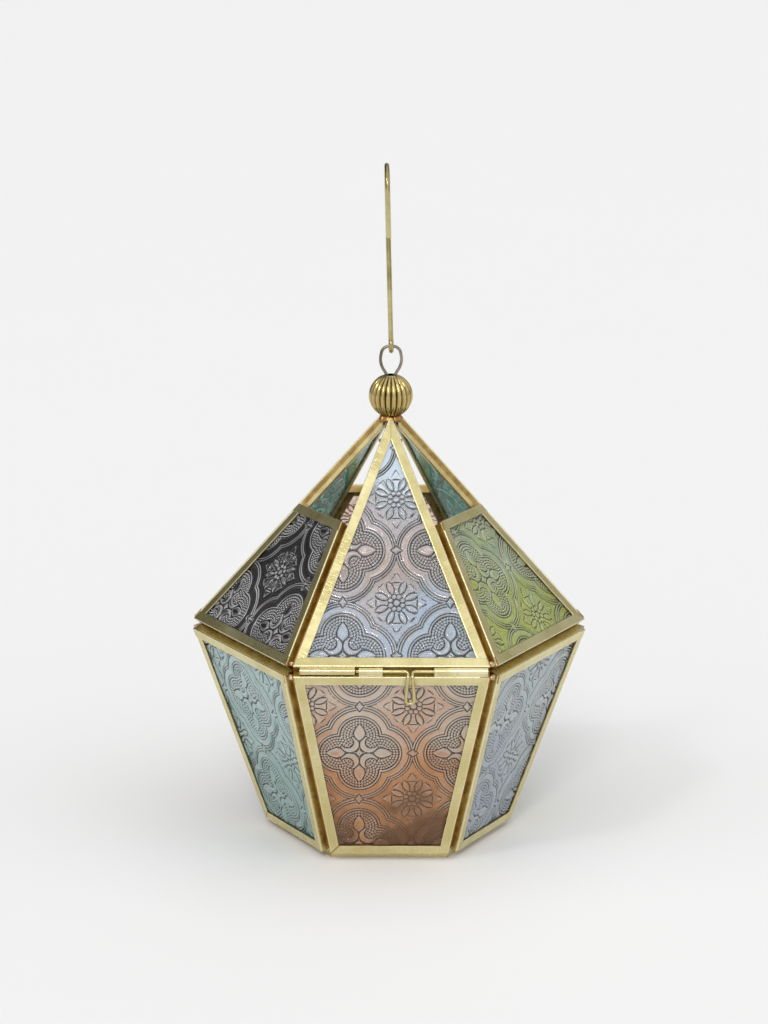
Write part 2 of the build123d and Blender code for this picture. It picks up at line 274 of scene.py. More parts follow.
def add_rail(parts, place, depth, a, b, cuts, lift, rng, trims=(0.0, 0.0), grime=1.0, two_toned_over=None):
    """One folded channel from corner a to corner b. cuts are how far each end moves per mm inwards."""
    section = channel_section(depth, lift)
    length = np.linalg.norm(b - a)
    run = (b - a) / length
    inwards = np.array([-run[1], run[0]])
    ends = np.array(RAIL_END) / length
    inner = np.linspace(1.2, length - 1.2, max(4, int(length / STATION))) / length
    t = np.concatenate([ends, inner, 1 - ends[::-1]])[:, None]
    steps = len(t) - 1
    # painted shade at the rail's ends, standing in for the shadow where rails meet
    shaded_end = np.interp(np.minimum(t, 1 - t) * length, RAIL_END, END_SHADE)
    s = section[:, 0][None, :]
    start = s * cuts[0] + trims[0]
    end = length - s * cuts[1] - trims[1]
    along = start + (end - start) * t
    line = t[:, 0] * length
    lip = LIP_WAVE * wander(line, rng, (31.0, 17.0, 6.3))[:, None] * np.clip(s / FLANGE, 0, 1) ** 4
    dent = DENT * wander(line, rng, (43.0, 13.0, 7.1))[:, None] * np.clip(s / FLANGE, 0, 1)
    top = (section[:, 1] > -depth / 2)[None, :]
    uv = a + run * along[..., None] + inwards * (s + lip)[..., None]
    height = section[:, 1][None, :] + dent * top
    points = place(uv[..., 0], uv[..., 1], height)
    count = len(section)
    first = sum(len(v) for v in parts["verts"])
    parts["verts"].append(points.reshape(-1, 3))
    for i in range(steps):
        for j in range(count):
            k = (j + 1) % count
            lo, hi = first + i * count, first + (i + 1) * count
            parts["faces"].append((lo + j, lo + k, hi + k, hi + j))
    parts["faces"].append(tuple(first + j for j in reversed(range(count))))
    parts["faces"].append(tuple(first + steps * count + j for j in range(count)))
    around = np.concatenate([[0], np.cumsum(np.hypot(*np.diff(section[:, :2], axis=0).T))])
    offset = rng.uniform(0, 400)
    parts["uv"].append(np.stack(np.broadcast_arrays(along + offset, around[None, :]), -1).reshape(-1, 2))
    parts["wear_and_highlight"].append(np.broadcast_to(section[:, 2][None, :], along.shape).reshape(-1))
    high_up = 1.0
    if two_toned_over is not None:
        tones = np.where(section[:, 1] < -WEB_SPLIT * depth, WEB_INNER, WEB_OUTER)[None, :]
        high_up = np.where(uv[..., 1] > two_toned_over, tones, 1.0)
    # grime on the webs and back, and the painted shade at the ends, go into one grime attribute
    dirt_and_shade = np.maximum(section[:, 3][None, :] * grime * high_up, shaded_end)
    parts["grime"].append(dirt_and_shade.reshape(-1))
    parts["tone"].append(np.full(along.size, rng.uniform(0, 1)))


def turn_cut(outline, i, mitre):
    """How far an end at corner i moves per mm inwards, for a mitre or for a full-length lap."""
    before, here, after = outline[i - 1], outline[i], outline[(i + 1) % len(outline)]
    cosine = unit(before - here) @ unit(after - here)
    angle = math.acos(cosine)
    return 1 / math.tan(angle / 2 if mitre else angle)


def finish_channel(name, parts, body, material, cutters=()):
    """One object of the rails in parts. A cutter (point, way) removes what lies past its plane."""
    made = new_object(name, np.concatenate(parts["verts"]), parts["faces"], body, material)
    mesh = made.data
    for paint in ("wear_and_highlight", "grime", "tone"):
        point_attribute(mesh, paint, np.concatenate(parts[paint]))
    corner_uv(mesh, "along", np.concatenate(parts["uv"]))
    work = bmesh.new()
    work.from_mesh(mesh)
    bmesh.ops.recalc_face_normals(work, faces=work.faces)
    for at, out in cutters:
        cut = bmesh.ops.bisect_plane(
            work,
            geom=work.verts[:] + work.edges[:] + work.faces[:],
            plane_co=Vector(at) * MM,
            plane_no=Vector(out),
            clear_outer=True,
        )
        rim = [e for e in cut["geom_cut"] if isinstance(e, bmesh.types.BMEdge)]
        bmesh.ops.holes_fill(work, edges=rim, sides=0)
    work.to_mesh(mesh)
    work.free()
    shade_smooth(mesh, CHANNEL_EDGE)
    return made


def frame_of(group, side, panel, body, material, laps):
    """The channels round one pane. laps says which rails lie over their neighbours and which corners
    are mitred, both by number, anticlockwise from the bottom rail and its left corner."""
    rng = np.random.default_rng(SIDES.index(side) + (0 if group == "base" else 10))
    parts = no_parts()
    outline = list(panel.outline)
    if group == "roof":
        for i in (0, 1):
            outline[i] = np.array([panel.side_u(-LID_DROP, i == 0, 0.0), -LID_DROP])
    count = len(outline)
    for i in range(count):
        j = (i + 1) % count
        tips = [panel.tall and i == 2, panel.tall and j == 2]
        mitres = [(i, "mitre") in laps or tips[0], (j, "mitre") in laps or tips[1]]
        cuts = [turn_cut(outline, k, m) for k, m in zip((i, j), mitres)]
        lift = LAP_LIFT if (i, "over") in laps else 0.0
        grime = CLEAN_GROOVE if i == (0 if group == "roof" else 2) else 1.0
        high_up = HIGH_UP if panel.tall else None
        ends = (outline[i], outline[j])
        add_rail(parts, panel.place, panel.depth, *ends, cuts, lift, rng, RAIL_TRIM, grime, high_up)
    cutters = []
    if panel.tall:
        radial = unit([panel.normal[0], panel.normal[1], 0])
        cutters = [((0, 0, TIP_TOP), (0, 0, 1)), (radial * TIP_CLEAR, -radial)]
    made = finish_channel(f"{group}_channel_{side}", parts, body, material, cutters)
    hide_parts(f"{group}_frame_{side}")


# ---------------------------------------------------------------- pressed pattern
# A medallion has four lobes. How far out a lobe's centre lies, and the radius of its inner field
LOBE_OUT = 9.5
LOBE_FIELD = 9.2
# Radius, half width and height of the ridges round a lobe, and of the broad band between them
LOBE_RIDGES = ((9.75, 0.55, 0.62), (14.25, 0.5, 0.6), (15.4, 0.42, 0.5))
BAND_R = 12.0
BAND_HALF = 1.75
BAND_HEIGHT = 0.5
# Rows of beads in a lobe's field
BEAD_ROWS = (8.25, 6.9, 5.55, 4.2)
BEAD_PITCH = 1.38
BEAD_R = 0.69
BEAD_HEIGHT = 0.56
# An almond on each lobe's axis: its middle, its half length and its half width
ALMOND_AT = 11.2
ALMOND_HALF = 4.4
ALMOND_WIDE = 2.5
# A crescent between two lobes lies inside one circle and outside another, centred as far along both axes.
# It ends where the distances along the two axes add up to this
CRESCENT_OUTER_AT = 4.5
CRESCENT_OUTER_R = 4.3
CRESCENT_INNER_AT = 5.7
CRESCENT_INNER_R = 3.1
CRESCENT_END = 12.0
# A diamond in the medallion's middle, and a gem where two medallions meet: half its length and width
DIAMOND = 1.9
GEM_HALF = 2.5
GEM_WIDE = 1.9
# The grainy ground between medallions starts this far from a lobe's centre, and this far from a flower's
GROUND_FROM = 15.9
HEART_FREE = 4
# A flower: how far it reaches, and its rays on eight axes, long and short by turns, with pointed tips past
# the short ones
FLOWER_REACH = 14
RAY_FROM = 4.6
RAY_LONG = 10.6
RAY_SHORT = 9.3
TIP_FROM = 9.9
TIP_LONG = 3.9
TIP_HALF = 2.5
# Between the rays, petals, with a bead at each one's foot and a heart in the middle
PETAL_FROM = 4.2
PETAL_LONG = 6.7
PETAL_HALF = 1.45
FOOT_BEAD_AT = 3.05
FOOT_BEAD_R = 1.08
HEART_R = 1.4
OUTSIDE = -9  # depth of a point that lies outside a shape altogether


def ridge(d, half, height):
    """A rounded ridge, from the distance to its middle line."""
    return height * np.clip(1 - (d / half) ** 2, 0, None) ** 1.5


def mound(depth, reach, height, roundness=0.55):
    """A raised shape with rounded sides, from how deep a point lies inside its outline."""
    return height * np.clip(depth / reach, 0, 1) ** roundness


def moat(depth, width, drop):
    """A narrow trench just outside a shape's outline."""
    return np.where((depth < 0) & (depth > -width), -drop * np.sin(-math.pi * depth / width), 0)


def beads(rho, theta, radius):
    """A ring of beads at one radius."""
    count = round(2 * math.pi * radius / BEAD_PITCH)
    turn = theta * count / (2 * math.pi)
    off = (turn - np.round(turn)) * 2 * math.pi * radius / count
    d2 = (rho - radius) ** 2 + off ** 2
    return BEAD_HEIGHT * np.clip(1 - d2 / BEAD_R ** 2, 0, None) ** 0.7


def medallion(x, y):
    """Height of the four-lobed medallions, centred on every lattice point, and distance to a lobe."""
    a = np.abs((x + PATTERN / 2) % PATTERN - PATTERN / 2)
    b = np.abs((y + PATTERN / 2) % PATTERN - PATTERN / 2)
    p, q = np.maximum(a, b), np.minimum(a, b)
    rho = np.hypot(p - LOBE_OUT, q)
    theta = np.arctan2(q, p - LOBE_OUT)
    inside = rho < LOBE_FIELD
    band = np.clip(1 - ((rho - BAND_R) / BAND_HALF) ** 2, 0, None)
    h = BAND_HEIGHT * band ** 0.55
    for radius, half, height in LOBE_RIDGES:
        h = np.maximum(h, ridge(rho - radius, half, height))
    along = (p - ALMOND_AT) / ALMOND_HALF
    half_width = ALMOND_WIDE * np.abs(1 - along ** 2) ** 0.75 * (1 - 0.25 * along)
    almond = np.where(np.abs(along) < 1.0, half_width - q, OUTSIDE)
    outer = np.hypot(p - CRESCENT_OUTER_AT, q - CRESCENT_OUTER_AT)
    inner = np.hypot(p - CRESCENT_INNER_AT, q - CRESCENT_INNER_AT)
    crescent = np.minimum(CRESCENT_OUTER_R - outer, inner - CRESCENT_INNER_R)
    crescent = np.minimum(crescent, (CRESCENT_END - p - q) / 1.4)
    diamond = DIAMOND - p - q
    field = inside & (crescent < -0.4) & (almond < -0.5) & (p > 3.5)
    for radius in BEAD_ROWS:
        h = np.where(field, np.maximum(h, beads(rho, theta, radius)), h)
    for depth, reach, height in ((crescent, 0.85, 0.6), (almond, 1.3, 0.72), (diamond, 1.2, 0.6)):
        trench = inside & (depth > -0.5)
        h = np.where(trench, moat(depth, 0.5, 0.22), h)
        h = np.where(inside & (depth > 0), mound(depth, reach, height), h)
    gem = 1 - (PATTERN / 2 - p) / GEM_HALF - q / GEM_WIDE
    h = np.where((gem > -0.25) & (gem <= 0), -0.1, h)
    return np.where(gem > 0, 0.2 + 0.9 * gem, h), rho


def flower(x, y):
    """Height of the eight-petalled flowers, centred between four medallions, and distance to one."""
    fx, fy = x % PATTERN - PATTERN / 2, y % PATTERN - PATTERN / 2
    r, phi = np.hypot(fx, fy), np.arctan2(fy, fx)
    between = (phi % (math.pi / 4)) - math.pi / 8
    on_axis = ((phi + math.pi / 8) % (math.pi / 4)) - math.pi / 8
    square = np.cos(4 * phi) > 0
    ax, ay = r * np.cos(on_axis), np.abs(r * np.sin(on_axis))
    reach = np.where(square, RAY_SHORT, RAY_LONG)
    lateral = np.clip(0.3 * (ax - RAY_FROM + 1), 0.01, 2.2)
    ray = (ax > RAY_FROM) & (ax < reach) & (ay < lateral)
    h = np.where(ray, 0.10 + 0.36 * (ax - RAY_FROM) / 5.0 * (1 - 0.6 * ay / lateral), 0)
    tip = 1 - (ax - TIP_FROM) / TIP_LONG
    on_tip = square & (ax > TIP_FROM) & (tip > 0) & (ay < TIP_HALF * np.clip(tip, 0, 1) ** 0.8)
    h = np.maximum(h, np.where(on_tip, 0.16 + 0.3 * (1 - ay / 2.6), 0))
    bx, by = r * np.cos(between), r * np.sin(between)
    way = np.clip((bx - PETAL_FROM) / PETAL_LONG, 0, 1)
    half_width = PETAL_HALF * np.sin(math.pi * way) ** 0.8
    petal = np.where((way > 0) & (way < 1), half_width - np.abs(by), OUTSIDE)
    bead = FOOT_BEAD_R - np.hypot(bx - FOOT_BEAD_AT, by)
    heart = HEART_R - r
    for depth, height in ((petal, 0.6), (bead, 0.6), (heart, 0.55)):
        h = np.where(depth > -0.4, moat(depth, 0.4, 0.2), h)
        h = np.where(depth > 0, mound(depth, 1.0, height, 0.7), h)
    return h, r


def pressed(x, y):
    """Height, 0 to about 1, of the whole pattern."""
    lobed, rho = medallion(x, y)
    petalled, r = flower(x, y)
    ground = rho > GROUND_FROM
    grain = 0.075 * np.sin(4.1 * x + 1.7 * np.sin(3.3 * y)) * np.sin(4.4 * y + 1.9 * np.sin(2.9 * x))
    h = np.where(ground & (r < FLOWER_REACH) & (petalled != 0), petalled, lobed)
    return h + np.where(ground & (r > HEART_FREE), grain, 0)


def blurred(field, reach):
    """Mean over a square of 2 reach + 1 cells."""
    for axis in (0, 1):
        total = np.zeros_like(field)
        for step in range(-reach, reach + 1):
            total += np.roll(field, step, axis)
        field = total / (2 * reach + 1)
    return field


def pane_of(group, side, panel, body, material, offset):
    """A closed slab of glass with the pattern pressed into its outer face, inside its channel. A medallion
    is centred at offset, and what the glass's looks depend on is painted on its points."""
    low, high = panel.glass_low, panel.glass_high
    first = FLANGE - GLASS_MARGIN
    last = high if panel.tall else panel.outline[2][1] - FLANGE + GLASS_MARGIN
    span = panel.side_u(first, False, FLANGE) - panel.side_u(first, True, FLANGE)
    if not panel.tall:
        span = max(span, panel.side_u(last, False, FLANGE) - panel.side_u(last, True, FLANGE))
    cell = math.sqrt(span * (last - first) / PANE_CELLS)
    rows, columns = int((last - first) / cell), int(span / cell)
    v = np.concatenate([[low], np.linspace(first, last - 0.01, rows), [high]])
    t = np.linspace(0, 1, columns)
    outer_l, outer_r = panel.side_u(v, True, panel.edge), panel.side_u(v, False, panel.edge)
    inner_l, inner_r = panel.side_u(v, True, first), panel.side_u(v, False, first)
    middle = (outer_l + outer_r) / 2
    squeeze = np.minimum((outer_r - outer_l) / 2 - 0.15, np.maximum((inner_r - inner_l) / 2, 0.1))
    inner_l, inner_r = middle - squeeze, middle + squeeze
    inner = inner_l[:, None] + (inner_r - inner_l)[:, None] * t[None, :]
    u = np.concatenate([outer_l[:, None], inner, outer_r[:, None]], 1)
    grid_v = np.broadcast_to(v[:, None], u.shape)
    x = (u - offset[0]) * PATTERN / PATTERN_ACROSS
    y = (grid_v - offset[1]) * PATTERN / PATTERN_UP
    height = pressed(x, y)
    wave = WAVE * np.sin(u / WAVE_ACROSS + offset[0]) * np.sin(grid_v / WAVE_UP + offset[1])
    inside = np.minimum(u - outer_l[:, None], outer_r[:, None] - u) - (FLANGE - panel.edge - 0.55)
    inside = np.minimum(inside, grid_v - first - 0.1)
    if not panel.tall:
        inside = np.minimum(inside, last - 0.1 - grid_v)
    fade = np.clip(inside / FADE, 0, 1)
    w = -GLASS_SUNK + (RELIEF * height + wave) * fade
    ny, nx = u.shape
    front = panel.place(u, grid_v, w).reshape(-1, 3)
    slope_v = np.gradient(height, axis=0) / np.maximum(np.gradient(grid_v, axis=0), 1e-3)
    slope_u = np.gradient(height, axis=1) / np.maximum(np.gradient(u, axis=1), 0.02)
    paints = {
        "stands": np.clip((height - blurred(height, BLUR_CELLS)) * fade, -1, 1),
        "steep": np.clip(np.hypot(slope_u, slope_v) * fade, 0, 3),
        "ledge": np.clip((0.35 * slope_u - slope_v) * fade, -3, 3),
        "foot": np.clip(1 - grid_v / FOOT_RISE, 0, 1),
    }
    index = np.arange(ny * nx).reshape(ny, nx)
    quads = np.stack([index[:-1, :-1], index[:-1, 1:], index[1:, 1:], index[1:, :-1]], -1).reshape(-1, 4)
    rim = np.concatenate([index[0, :-1], index[:-1, -1], index[-1, :0:-1], index[:0:-1, 0]])
    back = panel.place(u.ravel()[rim], grid_v.ravel()[rim], -GLASS_BACK)
    back_index = np.arange(len(rim)) + ny * nx
    wall = np.stack([rim, back_index, np.roll(back_index, -1), np.roll(rim, -1)], -1)
    verts = np.concatenate([front, back])
    faces = quads.tolist() + wall.tolist() + [back_index[::-1].tolist()]
    made = new_object(f"{group}_glass_{side}", verts, faces, body, material)
    mesh = made.data
    smooth = np.zeros(len(mesh.polygons), bool)
    smooth[: len(quads)] = True
    mesh.polygons.foreach_set("use_smooth", smooth)
    for paint, values in paints.items():
        point_attribute(mesh, paint, np.concatenate([values.ravel(), np.zeros(len(rim))]))
    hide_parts(f"{group}_pane_{side}")


# ---------------------------------------------------------------- turned and lumpy pieces
def lathe(profile, segments, shape):
    """Closed ring of faces from a closed (radius, z) profile round the Z axis; shape moves its points."""
    profile = np.asarray(profile, float)
    turn = np.linspace(0, 2 * math.pi, segments, endpoint=False)[:, None]
    radius = np.broadcast_to(profile[:, 0][None, :], (segments, len(profile)))
    z = np.broadcast_to(profile[:, 1][None, :], radius.shape)
    radius, z = shape(radius, z, turn)
    points = np.stack([radius * np.cos(turn), radius * np.sin(turn), z], -1).reshape(-1, 3)
    count = len(profile)
    faces = []
    for i in range(segments):
        lo, hi = i * count, (i + 1) % segments * count
        for j in range(count):
            k = (j + 1) % count
            faces.append((lo + j, lo + k, hi + k, hi + j))
    return points, faces


def groove_at(turn):
    """How far into a groove between two ribs the ball's surface is at an angle, 0 to 1."""
    return 1 - np.abs(np.cos(turn * FLUTES / 2)) ** FLUTE_POWER


def fluted(radius, z, turn):
    """Rounded ribs with narrow grooves between them, fading out at the ball's two ends."""
    lo, hi = z.min(), z.max()
    fade = np.clip((hi - z) / FLUTE_FADE, 0.15, 1) * np.clip((z - lo) / FLUTE_FADE, 0.15, 1)
    outside = radius > BALL_HOLE + 0.1
    deep = FLUTE_DEEP * groove_at(turn) * fade * np.clip(radius / 6, 0, 1)
    return radius - np.where(outside, deep, 0), z


def ball_of(material):
    """The fluted ball, dirty in its grooves."""
    lo, hi = (np.array(v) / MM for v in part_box("finial_ball"))
    reach = (hi[0] - lo[0]) / 2
    profile = [(BALL_HOLE, lo[2])]
    start = math.acos((lo[2] - BALL_CENTRE) / reach)
    end = math.asin(BALL_HOLE / reach)
    for i in range(BALL_STEPS + 1):
        polar = start + (end - start) * i / BALL_STEPS
        profile.append((reach * math.sin(polar), BALL_CENTRE + reach * math.cos(polar)))
    profile += [(BALL_HOLE, hi[2] - 0.3), (BALL_HOLE, (lo[2] + hi[2]) / 2)]
    segments = FLUTES * 12
    points, faces = lathe(profile, segments, fluted)
    made = new_object("ball_fluted", points, faces, "lid", material)
    fix_normals(made.data)
    shade_smooth(made.data, BALL_EDGE)
    turn = np.repeat(np.linspace(0, 2 * math.pi, segments, endpoint=False), len(profile))
    point_attribute(made.data, "grime", groove_at(turn))
    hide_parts("finial_ball")


def collar_of(material):
    """The uneven cone of solder that holds the rafters' tips."""
    lo, hi = (np.array(v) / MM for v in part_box("apex_collar"))
    bore = 3.1
    profile = [(bore, lo[2]), (4.6, lo[2] - 0.3), (5.3, lo[2] + 0.1), (5.3, lo[2] + 0.8)]
    profile += [(4.9, lo[2] + 1.5), (4.5, hi[2] - 0.2), (4.3, hi[2] + 0.3), (bore, hi[2] + 0.1)]

    def lumpy(radius, z, turn):
        # thinner over the three rafters' tips, thicker between them
        swell = -0.95 * np.cos(3 * turn + 1.5 * math.pi)
        swell = swell + 0.3 * np.sin(5 * turn + 1) + 0.2 * np.sin(11 * turn + 2.3)
        outside = radius > bore
        return radius + np.where(outside, swell, 0), z + np.where(outside, 0.15 * np.sin(7 * turn), 0)

    points, faces = lathe(profile, 120, lumpy)
    made = new_object("collar_solder", points, faces, "lid", material)
    fix_normals(made.data)
    shade_smooth(made.data)
    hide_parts("apex_collar")


def blob_at(name, centre, size, body, material, rng):
    """A lump of solder: an uneven, slightly flattened ball."""
    rings, segments = 14, 24
    polar = np.linspace(0, math.pi, rings + 1)[1:-1][:, None]
    turn = np.linspace(0, 2 * math.pi, segments, endpoint=False)[None, :]
    level = np.sin(polar)
    ways = np.stack(np.broadcast_arrays(level * np.cos(turn), level * np.sin(turn), np.cos(polar)), -1)
    ways = np.concatenate([ways.reshape(-1, 3), [[0, 0, 1], [0, 0, -1]]])
    radius = np.ones(len(ways))
    for wave in (1.7, 2.9, 4.3):
        radius += 0.22 / wave * np.sin(ways @ rng.normal(0, wave, 3) + rng.uniform(0, 6))
    points = centre + ways * radius[:, None] * np.asarray(size)
    faces = []
    for i in range(rings - 2):
        lo, hi = i * segments, (i + 1) * segments
        for j in range(segments):
            k = (j + 1) % segments
            faces.append((lo + j, hi + j, hi + k, lo + k))
    last = (rings - 2) * segments
    top, foot = len(ways) - 2, len(ways) - 1
    for j in range(segments):
        k = (j + 1) % segments
        faces += [(top, j, k), (last + k, last + j, foot)]
    made = new_object(name, points, faces, body, material)
    shade_smooth(made.data)


# ---------------------------------------------------------------- node materials
class Nodes:
    """Short ways to build a node tree, of a material or of the world."""

    def __init__(self, owner):
        self.owner = owner
        owner.use_nodes = True
        self.tree = owner.node_tree
        self.shader = self.tree.nodes.get("Principled BSDF") or self.tree.nodes["Background"]

    def add(self, kind, **settings):
        node = self.tree.nodes.new(kind)
        for key, value in settings.items():
            setattr(node, key, value)
        return node

    def link(self, out, into):
        self.tree.links.new(out, into)

    def coords(self, scale=(1, 1, 1), uv_map=None):
        """Place on the object, or in one of its UV maps, scaled."""
        if uv_map is None:
            source = self.add("ShaderNodeTexCoord").outputs["Object"]
        else:
            source = self.add("ShaderNodeUVMap", uv_map=uv_map).outputs["UV"]
        mapping = self.add("ShaderNodeMapping")
        mapping.inputs["Scale"].default_value = scale
        self.link(source, mapping.inputs["Vector"])
        return mapping.outputs["Vector"]

    def noise(self, vector, scale, detail=3.0, rough=0.55, distortion=0.0):
        node = self.add("ShaderNodeTexNoise")
        node.inputs["Scale"].default_value = scale
        node.inputs["Detail"].default_value = detail
        node.inputs["Roughness"].default_value = rough
        node.inputs["Distortion"].default_value = distortion
        self.link(vector, node.inputs["Vector"])
        return node.outputs["Fac"]

    def attribute(self, name):
        return self.add("ShaderNodeAttribute", attribute_name=name).outputs["Fac"]

    def map(self, value, lo, hi, to_lo=0.0, to_hi=1.0, smooth=False):
        node = self.add("ShaderNodeMapRange")
        if smooth:
            node.interpolation_type = "SMOOTHSTEP"
        for socket, number in zip(("From Min", "From Max", "To Min", "To Max"), (lo, hi, to_lo, to_hi)):
            node.inputs[socket].default_value = number
        self.link(value, node.inputs["Value"])
        return node.outputs["Result"]

    def math(self, how, a, b):
        node = self.add("ShaderNodeMath", operation=how)
        for socket, value in zip(node.inputs, (a, b)):
            if isinstance(value, (int, float)):
                socket.default_value = value
            else:
                self.link(value, socket)
        return node.outputs[0]

    def mix(self, factor, a, b):
        """Colour a where the factor is 0, and b where it is 1."""
        node = self.add("ShaderNodeMix", data_type="RGBA")
        for socket, value in zip((node.inputs[0], node.inputs[6], node.inputs[7]), (factor, a, b)):
            if isinstance(value, (int, float)):
                socket.default_value = value
            elif isinstance(value, tuple):
                socket.default_value = (*value, 1)
            else:
                self.link(value, socket)
        return node.outputs[2]

    def bump(self, height, strength, distance_mm, after=None):
        node = self.add("ShaderNodeBump")
        node.inputs["Strength"].default_value = strength
        node.inputs["Distance"].default_value = distance_mm * MM
        self.link(height, node.inputs["Height"])
        if after is not None:
            self.link(after, node.inputs["Normal"])
        return node.outputs["Normal"]


POLISHED_HIGHLIGHT = (0.88, 0.81, 0.56)


def brass(name, pale, deep, tarnish, rough, brushed=None, spots=0.5, bump=0.35, worn_and_highlit=False, grime=None):
    """Brass or other metal with uneven colour and tarnish in patches. It can be brushed, by scales along
    and across, worn and paler as a painted highlight where the point attribute for wear and highlight is
    high, and grimy where grime is, which at the rails' ends is painted shade."""
    n = Nodes(bpy.data.materials.new(name))
    place = n.coords()
    cloud = n.noise(place, 55, 4, 0.6)
    patch = n.noise(place, 160, 5, 0.65, 0.4)
    speck = n.noise(place, 900, 3, 0.6)
    colour = n.mix(n.map(cloud, 0.35, 0.68, smooth=True), deep, pale)
    colour = n.mix(n.map(patch, 0.60, 0.78, 0, spots, smooth=True), colour, tarnish)
    colour = n.mix(n.map(speck, 0.66, 0.8, 0, 0.35 * spots), colour, tarnish)
    roughness = n.map(cloud, 0.3, 0.7, rough - 0.05, rough + 0.07)
    normal = n.bump(n.noise(place, 320, 3), bump * 0.5, 0.12)
    if brushed is not None:
        lines = n.noise(n.coords(brushed, "along"), 1.0, 2, 0.5)
        fine = n.noise(n.coords((brushed[1], brushed[0], 1), "along"), 1.0, 2, 0.5)
        normal = n.bump(lines, bump, 0.16, normal)
        normal = n.bump(fine, bump * 0.5, 0.08, normal)
        colour = n.mix(n.map(lines, 0.35, 0.65, 0.0, 0.6), colour, deep)
    if worn_and_highlit:
        edge = n.attribute("wear_and_highlight")
        colour = n.mix(n.map(n.attribute("tone"), 0, 1, 0, 0.45), colour, deep)
        # worn folds with a painted highlight: paler there
        colour = n.mix(n.map(edge, 0.2, 1.0, 0, 0.55), colour, POLISHED_HIGHLIGHT)
        roughness = n.math("SUBTRACT", roughness, n.map(edge, 0.3, 1.0, 0, 0.04))
    # the grime attribute holds grime, and at the rails' ends painted shade
    if grime is not None:
        dirt_and_shade = n.math("MULTIPLY", n.attribute("grime"), n.map(patch, 0.3, 0.6, 0.65, 1.0))
        colour = n.mix(dirt_and_shade, colour, grime)
        stain = n.math("MULTIPLY", n.attribute("grime"), n.map(patch, 0.40, 0.66, 0.1, 0.75, smooth=True))
        colour = n.mix(stain, colour, tarnish)
    n.link(colour, n.shader.inputs["Base Color"])
    n.link(roughness, n.shader.inputs["Roughness"])
    n.link(normal, n.shader.inputs["Normal"])
    n.shader.inputs["Metallic"].default_value = 1.0
    return n.owner


def glass(name, crest_highlight, clear, stain, deep, rough, body, shade, foot_shade=0.0, stained=(0.13, 0.13, 0.13)):
    """Pressed glass, with painted light: a painted highlight where the relief stands out and on its upper
    sides, and painted shade in its hollows, on its steep sides and on its lower sides, as real pressed
    glass looks where light is bent away. Its tint is uneven, from clear to stain, and painted shade darkens
    the foot of the pane.

    The crest tint is the painted highlight where the relief stands out, clear and stain are its tints in
    general and where the glass is stained, and deep is the painted shade in the hollows. body is how much
    of the light goes through, shade is how dark the painted shade on the relief's lower sides is, the
    weight at the foot is how dark the painted shade there is, and stained is how stained the pane is at
    its top, middle and foot."""
    n = Nodes(bpy.data.materials.new(name))
    place = n.coords()
    cloud = n.noise(place, 38, 3, 0.6, 0.6)
    seed = n.noise(place, 1400, 2, 0.5)
    stands = n.attribute("stands")
    ledge = n.attribute("ledge")
    # painted highlight where the relief stands out and on its upper sides; painted shade in its hollows, on
    # its lower sides and on its steep sides
    raised = n.map(stands, 0.01, 0.14, 0.0, 0.75, smooth=True)
    ledge_highlight = n.map(ledge, 0.15, 1.0, 0.0, 1.0, smooth=True)
    hollow_shade = n.map(stands, -0.03, -0.11, 0.0, 0.95, smooth=True)
    under = n.map(ledge, -0.3, -1.5, 0.0, shade, smooth=True)
    steep = n.map(n.attribute("steep"), 2.4, 5.0, 0.0, 0.25, smooth=True)
    foot = n.attribute("foot")
    at_top, at_middle, at_foot = stained
    upper = n.map(foot, 0, 0.5, at_top, at_middle)
    lower = n.map(foot, 0.5, 1, 0, at_foot - at_middle)
    drift = n.math("ADD", n.math("MULTIPLY", cloud, 0.75), n.math("ADD", upper, lower))
    tint = n.map(drift, 0.40, 0.70, smooth=True)
    colour = n.mix(tint, clear, stain)
    # the painted highlight over the tint, then the painted shade over both
    pale = n.math("MAXIMUM", raised, ledge_highlight)
    colour = n.mix(n.math("MULTIPLY", pale, n.map(tint, 0, 1, 1.0, 0.5)), colour, crest_highlight)
    relief_shade = n.math("MAXIMUM", n.math("MAXIMUM", steep, under), hollow_shade)
    colour = n.mix(relief_shade, colour, deep)
    # painted shade darkening the pane's foot
    if foot_shade > 0:
        low_shade = n.math("MULTIPLY", foot, n.map(cloud, 0.35, 0.65, 0.7, 1.3))
        colour = n.mix(n.map(low_shade, 0.55, 0.95, 0.0, foot_shade, smooth=True), colour, n.mix(0.29, deep, stain))
    n.link(colour, n.shader.inputs["Base Color"])
    n.link(n.bump(seed, 0.12, 0.05), n.shader.inputs["Normal"])
    n.shader.inputs["Transmission Weight"].default_value = body
    n.shader.inputs["Roughness"].default_value = rough
    n.shader.inputs["IOR"].default_value = 1.5
    return n.owner


